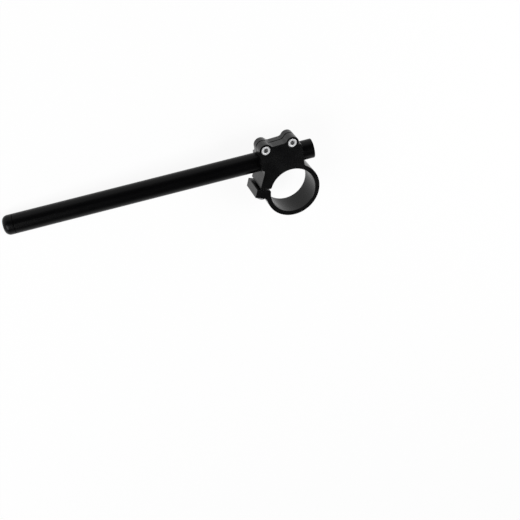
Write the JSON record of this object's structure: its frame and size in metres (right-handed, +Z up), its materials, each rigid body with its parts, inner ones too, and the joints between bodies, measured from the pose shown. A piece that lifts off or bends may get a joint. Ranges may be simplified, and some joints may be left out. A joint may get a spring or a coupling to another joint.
{
  "type": "clip on handlebar",
  "caption": "Left-hand clip-on handlebar: a split clamp grips the fork tube and holds a straight drooping bar tube with a rounded end plug, tightened by recessed socket screws.",
  "frame": {"origin": "centre of the fork bore, at half the height of the fork ring", "axes": "+Z up along the fork axis, out of the face with the bar-clamp screw heads; -X outward along the bar, to the rider's left; +Y from the fork towards the bar"},
  "size_m": [0.353, 0.099, 0.0527],
  "materials": {
    "clamp_black_anodised": "satin black anodised",
    "bar_black": "semi-gloss black anodised",
    "plug_black": "satin black",
    "screw_zinc": "bright zinc plated"
  },
  "bodies": {
    "root": {"clamp_body": "clamp_black_anodised", "bar_tube": "bar_black", "bar_end_plug": "plug_black", "bar_clamp_screw_outer": "screw_zinc", "bar_clamp_screw_inner": "screw_zinc", "fork_pinch_screw_upper": "screw_zinc", "fork_pinch_screw_lower": "screw_zinc"}
  },
  "joints": []
}
